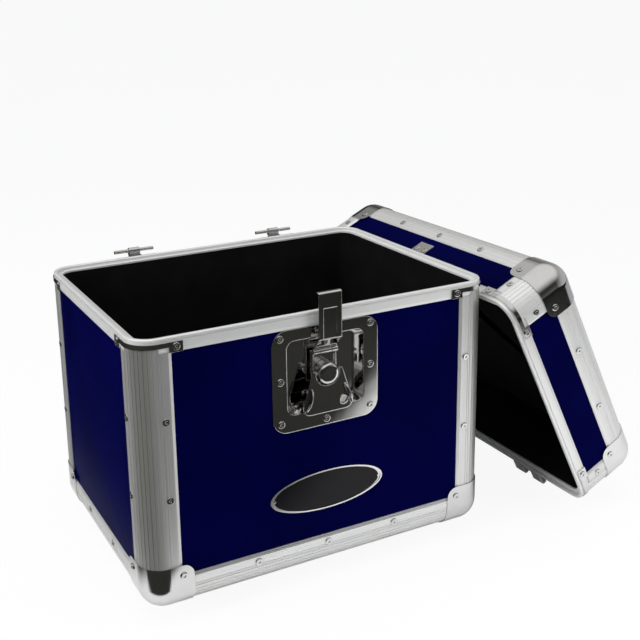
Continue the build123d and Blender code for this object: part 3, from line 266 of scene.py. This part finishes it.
dress(extruded_finish("aluminium_upright", UPRIGHT, roughness=0.34, metal=0.78, ribbed=True),
      *named("base_corner_extrusion"))
dress(extruded_finish("aluminium_across", ACROSS, roughness=0.2, metal=0.75),
      "base_edge_extrusion_front", "base_edge_extrusion_back")
dress(extruded_finish("aluminium_deep", DEEP, SATIN),
      "base_edge_extrusion_left", "base_edge_extrusion_right",
      "lid_edge_extrusion_front", "lid_edge_extrusion_back")
dress(extruded_finish("aluminium_lid_rising", LID_UP, SATIN),
      "lid_edge_extrusion_left", "lid_edge_extrusion_right")
dress(extruded_finish("aluminium_lid_out", LID_OUT, SATIN), *named("lid_corner_extrusion"))

# ---- rims ----
# One aluminium channel round each opening, bent at the corners and riveted over the panels'
# edges, its lip buffed bright by handling.
dress(extruded_finish("aluminium_rim", UPRIGHT, roughness=0.32, metal=0.44, bent=True),
      "base_rim")
dress(extruded_finish("aluminium_lid_rim", LID_OUT, roughness=0.3, metal=0.6, bent=True),
      "lid_rim")

# ---- ball corners and rim brackets ----
# Pressed steel, polished and chromed: three-lobed caps over the corners of each closed face, and
# straps that wrap the rim at its four bends. All are riveted through the extrusions.
CHROME = (0.74, 0.73, 0.72, 1)
CHROME_DULL = (0.70, 0.69, 0.68, 1)
RIPPLES = 45
RIPPLE_DEPTH = 0.00006
HAZE = 110
HAZE_TINT_RANGE = (0.35, 0.75)
HAZE_SPOT_RANGE = (0.5, 0.9)
HAZE_ROUGHNESS = 0.03
SCRATCHES = 700
SCRATCH_WAY = (0.57, 0.57, 0.57)
SCRATCH_KEEP = 0.05
SCRATCH_RANGE = (0.6, 0.8)
SCRATCH_ROUGHNESS = 0.02


def chrome_finish(name, roughness, rounding=0):
    """Polished chrome, its edges shaded as if rounded to a radius in metres."""
    finish = Finish(name)
    spot = finish.place()
    ripple = finish.grain(spot, RIPPLES, detail=1)
    haze = finish.grain(spot, HAZE, detail=5, roughness=0.65)
    scratch = finish.grain(finish.drawn(spot, SCRATCH_WAY, SCRATCH_KEEP), SCRATCHES)
    return finish.surface(
        Base_Color=finish.mix(haze.within(*HAZE_TINT_RANGE), CHROME, CHROME_DULL),
        Roughness=(roughness + haze.within(*HAZE_SPOT_RANGE) * HAZE_ROUGHNESS
                   + scratch.within(*SCRATCH_RANGE) * SCRATCH_ROUGHNESS),
        Metallic=1,
        Normal=finish.relief(ripple, RIPPLE_DEPTH, rounding=rounding))


dress(chrome_finish("chromed_caps", roughness=0.1), *named("base_ball_corner"))
dress(chrome_finish("chromed_lid_caps", roughness=0.09), "lid_ball_corners")
dress(chrome_finish("chromed_straps", roughness=0.1, rounding=0.0004),
      "base_rim_brackets", "lid_rim_brackets")

# ---- rivets ----
# Blind rivets of nickel-plated steel, with a dimple where the mandrel broke off. They hold the
# extrusions, caps, straps and latch, and two small pins hold the badge.
dress(chrome_finish("rivet_nickel", roughness=0.07, rounding=0.0008),
      "base_rivets", "lid_rivets", "latch_rivets", "badge_pins")

# ---- name badge ----
# A domed oval plate of pressed steel: a glossy black enamelled field, left bare, inside a bright
# ring. It is pinned to the front panel.
BADGE_LEVEL = 0.0945
BADGE_HALF_WIDTH = 0.0595
BADGE_HALF_HEIGHT = 0.0195
BADGE_FIELD = 0.935
ENAMEL = (0.004, 0.004, 0.005, 1)
ENAMEL_ROUGHNESS = 0.12
ENAMEL_GLOSS = 0.2
SPECKS = 1500
SPECK_ROUGHNESS = 0.06


def badge_finish():
    finish = Finish("badge_enamel")
    spot = finish.place()
    along = finish.axis(spot, ACROSS) / BADGE_HALF_WIDTH
    up = (finish.axis(spot, UPRIGHT) - BADGE_LEVEL) / BADGE_HALF_HEIGHT
    reach = (along ** 2 + up ** 2) ** 0.5
    ring = reach.over(BADGE_FIELD)
    return finish.surface(
        Base_Color=finish.mix(ring, ENAMEL, CHROME),
        Roughness=ENAMEL_ROUGHNESS + finish.grain(spot, SPECKS) * SPECK_ROUGHNESS,
        Metallic=ring,
        Specular_IOR_Level=ENAMEL_GLOSS)


dress(badge_finish(), "name_badge")

# ---- latch ----
# A recessed butterfly latch of pressed and chromed steel, riveted into the front panel: a dish
# that holds the spindle, the plate it lifts, the hook on that plate, and the folding wing.
dress(chrome_finish("latch_chrome", roughness=0.045, rounding=0.0012),
      "latch_dish", "latch_spindle", "latch_drive_plate", "latch_hook", "latch_wing",
      "wing_pin", "hook_pin")

# ---- hinges, keeper and handle fittings ----
# Zinc-plated steel: the hinge leaves with their pins on the base, the open hooks and the keeper
# on the lid, the screws of the feet, and the brackets and bent bail of the handle.
ZINC = (0.70, 0.71, 0.72, 1)
ZINC_WARM = (0.62, 0.60, 0.55, 1)
TINTS = 55
TINT_RANGE = (0.4, 0.7)
SPANGLES = 420
SPANGLE_DEPTH = 0.00002
SPANGLE_ROUGHNESS = 0.14
ZINC_ROUGHNESS = 0.24
THIRDS = (0.33, 0.33, 0.33)


def zinc_finish():
    finish = Finish("zinc_plate")
    spot = finish.place()
    tint = finish.grain(spot, TINTS, detail=4).within(*TINT_RANGE)
    cells = finish.node("ShaderNodeTexVoronoi", {"Vector": spot, "Scale": SPANGLES}, out="Color")
    spangle = finish.axis(cells, THIRDS)
    return finish.surface(
        Base_Color=finish.mix(tint, ZINC, ZINC_WARM),
        Roughness=ZINC_ROUGHNESS + spangle * SPANGLE_ROUGHNESS,
        Metallic=1,
        Normal=finish.relief(spangle, SPANGLE_DEPTH, strength=0.4))


dress(zinc_finish(), "base_hinge_leaves", "base_hinge_pins", "lid_hinge_hooks", "lid_keeper",
      "foot_screws", "handle_brackets", "handle_bail")

# ---- rubber feet ----
# Four moulded feet of black rubber with a bloom of dust, each held under the base by a screw
# through its middle.
RUBBER = (0.012, 0.012, 0.012, 1)
RUBBER_BLOOM = (0.035, 0.034, 0.032, 1)
BLOOMS = 160
BLOOM_RANGE = (0.35, 0.8)
BLOOM_ROUGHNESS = 0.25
TEETH = 2200
TOOTH_DEPTH = 0.0001
RUBBER_ROUGHNESS = 0.55


def rubber_finish():
    finish = Finish("black_rubber")
    spot = finish.place()
    bloom = finish.grain(spot, BLOOMS, detail=6, roughness=0.7)
    return finish.surface(
        Base_Color=finish.mix(bloom.within(*BLOOM_RANGE), RUBBER, RUBBER_BLOOM),
        Roughness=RUBBER_ROUGHNESS + bloom * BLOOM_ROUGHNESS,
        Normal=finish.relief(finish.grain(spot, TEETH), TOOTH_DEPTH, strength=0.6))


dress(rubber_finish(), "rubber_feet")

# ---- lining ----
# Foam-backed black felt glued round the walls, its upper edge folded soft, and a crowned pad on
# each closed face. The base's lining is cut out behind the latch.
CASE_WIDTH = 0.362
CASE_DEPTH = 0.265
BASE_HEIGHT = 0.257
LID_HEIGHT = 0.0825
FOOT_HEIGHT = 0.014
LID_PLACE = (0.3133, 0.0208, 0.16656)
BASE_SEAT = Matrix.Translation((0, 0, FOOT_HEIGHT))
LID_SEAT = Matrix(((0, sin(LID_TILT), -cos(LID_TILT), LID_PLACE[0]),
                   (1, 0, 0, LID_PLACE[1]),
                   (0, -cos(LID_TILT), -sin(LID_TILT), LID_PLACE[2]),
                   (0, 0, 0, 1)))
LINING_OUTER = 0.009
LINING_INNER = 0.010
LINING_TOP_DROP = 0.0051
LINING_CORNER = 0.0135
CORNER_STEPS = 12
LATCH_HOLE = ((-0.0413, -0.128, 0.1598), (0.0413, -0.117, 0.2337))
HOLE_CORNER = 0.009
HOLE_STEPS = 6
PAD_LOW = 0.00805
PAD_CORNER = 0.0125
PAD_EDGE = 0.012
PAD_RISES = (0.00077, 0.00033)
PAD_FACE_AREA = 0.03
FOLD = 0.00042
FOLD_STEPS = 3
WALL_FOLD_ANGLE = radians(40)
PAD_FOLD_ANGLE = radians(50)
STRAIGHT = 0.99
FELT_BLACK = (0.0015, 0.0015, 0.0017, 1)
FELT_GREY = (0.006, 0.006, 0.0065, 1)
NAP = 1800
NAP_DEPTH = 0.0004
NAP_SHARE = 0.7
NAP_RANGE = (0.35, 0.7)
NAP_ROUGHNESS = 0.12
DRIFTS = 35
FELT_ROUGHNESS = 0.85
FELT_GLOSS = 0.2


def felt_finish():
    finish = Finish("black_felt")
    spot = finish.place()
    nap = finish.grain(spot, NAP, detail=5, roughness=0.75)
    drift = finish.grain(spot, DRIFTS, detail=3)
    tone = (nap * NAP_SHARE + drift * (1 - NAP_SHARE)).within(*NAP_RANGE)
    return finish.surface(
        Base_Color=finish.mix(tone, FELT_BLACK, FELT_GREY),
        Roughness=FELT_ROUGHNESS + nap * NAP_ROUGHNESS,
        Normal=finish.relief(nap, NAP_DEPTH, strength=0.7),
        Specular_IOR_Level=FELT_GLOSS)


def block(name, low, high):
    """A box between two corners, active and in object mode."""
    bpy.ops.object.select_all(action="DESELECT")
    middle = [(a + b) / 2 for a, b in zip(low, high)]
    bpy.ops.mesh.primitive_cube_add(size=1, location=middle,
                                    scale=[b - a for a, b in zip(low, high)])
    bpy.ops.object.transform_apply(location=True, rotation=True, scale=True)
    made = bpy.context.active_object
    made.name = name
    return made


def pick(obj, kind, test):
    """Enter edit mode with only the faces or edges that pass the test selected."""
    bpy.ops.object.mode_set(mode="EDIT")
    bpy.ops.mesh.select_mode(type="FACE" if kind == "faces" else "EDGE")
    bpy.ops.mesh.select_all(action="DESELECT")
    mesh = bmesh.from_edit_mesh(obj.data)
    for element in getattr(mesh, kind):
        if test(element):
            element.select_set(True)
    mesh.select_flush_mode()
    bmesh.update_edit_mesh(obj.data)


def runs_along(axis):
    """Test for edges along one axis."""
    def test(edge):
        span = edge.verts[1].co - edge.verts[0].co
        return abs(span[axis]) > STRAIGHT * span.length
    return test


def round_corners(obj, axis, radius, steps):
    """Round the edges of a block that run along one axis."""
    pick(obj, "edges", runs_along(axis))
    bpy.ops.mesh.bevel(offset=radius, segments=steps, affect="EDGES")
    bpy.ops.object.mode_set(mode="OBJECT")


def use_modifier(obj, kind, **settings):
    """Add a modifier and apply it."""
    modifier = obj.modifiers.new(kind.lower(), kind)
    for name, value in settings.items():
        setattr(modifier, name, value)
    bpy.context.view_layer.objects.active = obj
    bpy.ops.object.modifier_apply(modifier=modifier.name)


def fold_edges(obj, angle):
    """Round every edge sharper than the angle, and shade the rest smooth."""
    use_modifier(obj, "BEVEL", width=FOLD, segments=FOLD_STEPS, limit_method="ANGLE",
                 angle_limit=angle)
    bpy.ops.object.select_all(action="DESELECT")
    obj.select_set(True)
    bpy.ops.object.shade_smooth_by_angle(angle=angle)


def settle(obj, seat, material, body, slot, *stood_for):
    """Set a finished piece in its half of the case, with its material, and on its body."""
    obj.matrix_world = seat
    bpy.ops.object.select_all(action="DESELECT")
    obj.select_set(True)
    bpy.context.view_layer.objects.active = obj
    bpy.ops.object.transform_apply(location=True, rotation=True, scale=True)
    obj.data.materials.append(material)
    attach(obj, body)
    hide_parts(*stood_for)


def settle_felt(obj, seat, body, *stood_for):
    """Set a piece of felt in place."""
    settle(obj, seat, felt, body, "felt", *stood_for)


def wall_felt(name, height, hole=None):
    """The sleeve of felt round the four walls."""
    half = [CASE_WIDTH / 2 - LINING_OUTER, CASE_DEPTH / 2 - LINING_OUTER]
    low = (-half[0], -half[1], LINING_INNER)
    sleeve = block(name, low, (half[0], half[1], height - LINING_TOP_DROP))
    pick(sleeve, "faces", lambda face: abs(face.normal.z) > STRAIGHT)
    bpy.ops.mesh.delete(type="ONLY_FACE")
    bpy.ops.object.mode_set(mode="OBJECT")
    round_corners(sleeve, 2, LINING_CORNER, CORNER_STEPS)
    use_modifier(sleeve, "SOLIDIFY", thickness=LINING_INNER - LINING_OUTER, offset=-1,
                 use_even_offset=True)
    if hole:
        cutter = block("latch_hole", *hole)
        round_corners(cutter, 1, HOLE_CORNER, HOLE_STEPS)
        use_modifier(sleeve, "BOOLEAN", object=cutter, operation="DIFFERENCE", solver="EXACT")
        bpy.data.objects.remove(cutter)
    fold_edges(sleeve, WALL_FOLD_ANGLE)
    return sleeve


def floor_felt(name):
    """The pad on a closed face, raised in two steps to a low crown.

    Known fault: the second step is wider than what the first leaves of the corner's radius, so
    the top's corners are turned inside out. Steps of less than half of PAD_CORNER would clear it.
    """
    half = [CASE_WIDTH / 2 - LINING_INNER, CASE_DEPTH / 2 - LINING_INNER]
    pad = block(name, (-half[0], -half[1], PAD_LOW), (half[0], half[1], LINING_INNER))
    round_corners(pad, 2, PAD_CORNER, CORNER_STEPS)
    for rise in PAD_RISES:
        pick(pad, "faces",
             lambda face: face.normal.z > STRAIGHT and face.calc_area() > PAD_FACE_AREA)
        bpy.ops.mesh.inset(thickness=PAD_EDGE)
        bpy.ops.transform.translate(value=(0, 0, rise))
        bpy.ops.object.mode_set(mode="OBJECT")
    fold_edges(pad, PAD_FOLD_ANGLE)
    return pad


felt = felt_finish()
settle_felt(wall_felt("base_wall_felt", BASE_HEIGHT, LATCH_HOLE), BASE_SEAT, "base",
            "base_lining")
settle_felt(floor_felt("base_floor_felt"), BASE_SEAT, "base", "base_floor_pad")
settle_felt(wall_felt("lid_wall_felt", LID_HEIGHT), LID_SEAT, "lid", "lid_lining")
settle_felt(floor_felt("lid_top_felt"), LID_SEAT, "lid", "lid_lining")

# ---- handle grip ----
# Moulded black plastic, threaded on the bail: a round grip with shallow grooves to hold by and
# smooth rounded ends.
GRIP_LENGTH = 0.104
GRIP_PLACE = (0.034, -0.0085)
GRIP_SIDES = 40
GRIP_GROOVES = 17
GRIP_RADIUS = 0.0087
GRIP_GROOVE_RADIUS = 0.0080
GRIP_SLOPE = 0.0006
GRIP_BOTTOM = 0.0008
GRIP_LAND = 0.0032
GRIP_MOUTH = 0.0056
GRIP_END = ((0.0, 0.0066), (0.0005, 0.0075), (0.0014, 0.0083), (0.0030, GRIP_RADIUS))
GRIP_SMOOTH_ANGLE = radians(50)
PLASTIC = (0.010, 0.010, 0.010, 1)
PLASTIC_WORN = (0.024, 0.023, 0.022, 1)
WEAR = 90
WEAR_RANGE = (0.4, 0.75)
WEAR_ROUGHNESS = 0.2
SPARKS = 3000
SPARK_DEPTH = 0.00006
PLASTIC_ROUGHNESS = 0.38


def grip_finish():
    finish = Finish("grip_plastic")
    spot = finish.place()
    wear = finish.grain(spot, WEAR, detail=5, roughness=0.7)
    return finish.surface(
        Base_Color=finish.mix(wear.within(*WEAR_RANGE), PLASTIC, PLASTIC_WORN),
        Roughness=PLASTIC_ROUGHNESS + wear * WEAR_ROUGHNESS,
        Normal=finish.relief(finish.grain(spot, SPARKS), SPARK_DEPTH, strength=0.7))


def grip_profile():
    """Stations of the grip from end to end: the run from the last one and the radius."""
    pairs = list(zip(GRIP_END, GRIP_END[1:]))
    near_end = [(end - start, radius) for (start, _), (end, radius) in pairs]
    far_end = [(end - start, radius) for (start, radius), (end, _) in pairs[::-1]]
    pitch = 2 * GRIP_SLOPE + GRIP_BOTTOM + GRIP_LAND
    spare = GRIP_LENGTH / 2 - GRIP_END[-1][0] - (GRIP_GROOVES * pitch - GRIP_LAND) / 2
    grooves = [(GRIP_SLOPE, GRIP_GROOVE_RADIUS), (GRIP_BOTTOM, GRIP_GROOVE_RADIUS),
               (GRIP_SLOPE, GRIP_RADIUS), (GRIP_LAND, GRIP_RADIUS)] * GRIP_GROOVES
    smooth = (spare, GRIP_RADIUS)
    return near_end + [smooth] + grooves[:-1] + [smooth] + far_end


def turned_grip(name):
    """A disc extruded from station to station along the bail."""
    bpy.ops.object.select_all(action="DESELECT")
    run = -GRIP_LENGTH / 2
    radius = GRIP_MOUTH
    bpy.ops.mesh.primitive_circle_add(vertices=GRIP_SIDES, radius=radius, fill_type="NGON",
                                      location=(run, *GRIP_PLACE), rotation=(0, pi / 2, 0))
    bpy.ops.object.transform_apply(location=True, rotation=True, scale=True)
    grip = bpy.context.active_object
    grip.name = name
    bpy.ops.object.mode_set(mode="EDIT")
    bpy.ops.mesh.select_mode(type="FACE")
    bpy.ops.mesh.select_all(action="SELECT")
    for step, wanted in [(0, GRIP_END[0][1])] + grip_profile() + [(0, GRIP_MOUTH)]:
        bpy.ops.mesh.extrude_region_move(TRANSFORM_OT_translate={"value": (step, 0, 0)})
        run += step
        bpy.ops.transform.resize(value=(1, wanted / radius, wanted / radius),
                                 center_override=(run, *GRIP_PLACE))
        radius = wanted
    bpy.ops.mesh.select_all(action="SELECT")
    bpy.ops.mesh.normals_make_consistent(inside=False)
    bpy.ops.object.mode_set(mode="OBJECT")
    bpy.ops.object.shade_smooth_by_angle(angle=GRIP_SMOOTH_ANGLE)
    return grip


settle(turned_grip("ribbed_grip"), LID_SEAT, grip_finish(), "handle", "grip_plastic",
       "handle_grip")

# ---- table ----
# A plain white table. To a mirror its colour is painted dark a short way in front of the case,
# beyond its front left corner and at its left: a painted reflection of the dark room.
FLOOR_SIZE = 120
FLOOR_GAP = 0.0006
FLOOR_GLOW = 0.92
TABLE_WHITE = (0.84, 0.84, 0.84, 1)
WHITE = (1, 1, 1, 1)
ROOM_DARK = (0.026, 0.026, 0.023, 1)
TOWARD_FRONT = (0, -1, 0)
FRONT_EDGE = (0.20, 0.29)
FRONT_SLANT = 0.9
FRONT_TURN = 0.42
FRONT_CLEAR = (0.20, 0.30)
LEFT_EDGE = (0.185, 0.24)
LEFT_CLEAR = (0, 0.12)
LEFT_CLEAR_WIDTH = 0.05
CORNER_WAY = (-0.44, -0.9, 0)
CORNER_EDGE = (0.215, 0.235)
CORNER_SIDE = (0.14, 0.17)
CORNER_SPREAD = 2


def table_finish():
    """Glowing white to the eye, matte to the light, and painted dark to a mirror past set lines,
    a painted reflection.
    """
    finish = Finish("white_table")
    spot = finish.place()
    rightward = finish.axis(spot, ACROSS)
    leftward = 0 - rightward
    forward = finish.axis(spot, TOWARD_FRONT)
    front = forward - rightward.at_most(FRONT_TURN) * FRONT_SLANT
    past_front = front.within(*FRONT_EDGE) * forward.within(*FRONT_CLEAR)
    past_left = (leftward - forward.within(*LEFT_CLEAR) * LEFT_CLEAR_WIDTH).within(*LEFT_EDGE)
    corner = finish.axis(spot, CORNER_WAY)
    beside = leftward + (corner - CORNER_EDGE[1]) * CORNER_SPREAD
    past_corner = corner.within(*CORNER_EDGE) * beside.within(*CORNER_SIDE)
    # Painted reflection: to mirror rays the table's colour turns to the dark of the room past
    # these lines.
    mirrored = finish.node("ShaderNodeLightPath", out="Is Glossy Ray")
    painted_dark_reflection = past_front.at_least(past_left).at_least(past_corner) * mirrored
    tone = finish.mix(painted_dark_reflection, TABLE_WHITE, ROOM_DARK)
    matte = finish.node("ShaderNodeBsdfDiffuse", {"Color": tone})
    glow = finish.node("ShaderNodeEmission", {"Color": WHITE, "Strength": 1})
    seen = finish.node("ShaderNodeLightPath", out="Is Camera Ray") * FLOOR_GLOW
    return finish.close(finish.node("ShaderNodeMixShader", {0: seen, 1: matte, 2: glow}))


bpy.ops.object.select_all(action="DESELECT")
bpy.ops.mesh.primitive_plane_add(size=FLOOR_SIZE, location=(0, 0, -FLOOR_GAP))
floor = bpy.context.active_object
floor.name = "floor"
floor.data.materials.append(table_finish())

# ---- studio ----
# A pale room with soft light from all round. Mirrored in the chrome it is dark, with a white
# ceiling and a half-lit wall at the right. Three soft lamps light the case and are not mirrored.
CEILING = (0.35, 0.85)
CEILING_WHITE = 0.8
WALL = (0.3, 1.0)
WALL_WHITE = 0.5
FILL = 0.4
FILL_COLOUR = (0.92, 0.95, 1, 1)
LAMP_AIM = Vector((0, 0, 0.12))
LAMPS = (("lamp_top", (-0.3, -0.2, 1.9), 1.6, 21.0),
         ("lamp_left", (-2.2, -0.3, 1.0), 1.3, 40.0),
         ("lamp_right", (0.52, -0.62, 0.36), 0.4, 1.8))


def studio_sky():
    """White to the eye, a soft fill to matte surfaces, and the dark room to a mirror."""
    sky = Finish("studio", bpy.data.worlds)
    toward = sky.node("ShaderNodeTexCoord", out="Generated")
    ceiling = sky.axis(toward, UPRIGHT).within(*CEILING) * CEILING_WHITE
    wall = sky.axis(toward, ACROSS).within(*WALL) * WALL_WHITE
    mirrored = sky.node("ShaderNodeBackground",
                        {"Color": sky.mix(ceiling.at_least(wall), ROOM_DARK, WHITE)})
    soft = sky.node("ShaderNodeBackground", {"Color": FILL_COLOUR, "Strength": FILL})
    white = sky.node("ShaderNodeBackground", {"Color": WHITE})
    glossy = sky.node("ShaderNodeLightPath", out="Is Glossy Ray")
    seen = sky.node("ShaderNodeLightPath", out="Is Camera Ray")
    room = sky.node("ShaderNodeMixShader", {0: glossy, 1: soft, 2: mirrored})
    return sky.close(sky.node("ShaderNodeMixShader", {0: seen, 1: room, 2: white}),
                     "ShaderNodeOutputWorld")


bpy.context.scene.world = studio_sky()
bpy.context.scene.view_settings.view_transform = "Standard"
for name, place, size, power in LAMPS:
    light = bpy.data.lights.new(name, "AREA")
    light.size = size
    light.energy = power
    lamp = bpy.data.objects.new(name, light)
    lamp.visible_glossy = False
    lamp.location = place
    lamp.rotation_euler = (LAMP_AIM - Vector(place)).to_track_quat("-Z", "Y").to_euler()
    bpy.context.scene.collection.objects.link(lamp)

# ---- camera ----
# A long lens from the front left, a little above the rim and rolled slightly, shifted so that
# the case and its lid fill the frame. Azimuth is from the front, positive to the right.
CAMERA_PLACE = Vector((-0.4194, -0.8848, 0.5524))
CAMERA_AZIMUTH = radians(-26.342)
CAMERA_ELEVATION = radians(14.376)
CAMERA_ROLL = radians(-1.396)
CAMERA_LENS = 57.08
CAMERA_SHIFT = (0.0674, -0.1198)

back = Vector((sin(CAMERA_AZIMUTH) * cos(CAMERA_ELEVATION),
               -cos(CAMERA_AZIMUTH) * cos(CAMERA_ELEVATION), sin(CAMERA_ELEVATION)))
level = Vector(UPRIGHT).cross(back).normalized()
rise = back.cross(level)
right = level * cos(CAMERA_ROLL) + rise * sin(CAMERA_ROLL)
up = rise * cos(CAMERA_ROLL) - level * sin(CAMERA_ROLL)
turn = Matrix((right, up, back)).transposed().to_4x4()
eye = bpy.data.cameras.new("camera")
eye.lens = CAMERA_LENS
eye.shift_x, eye.shift_y = CAMERA_SHIFT
camera = bpy.data.objects.new("camera", eye)
camera.matrix_world = Matrix.Translation(CAMERA_PLACE) @ turn
bpy.context.scene.collection.objects.link(camera)
bpy.context.scene.camera = camera
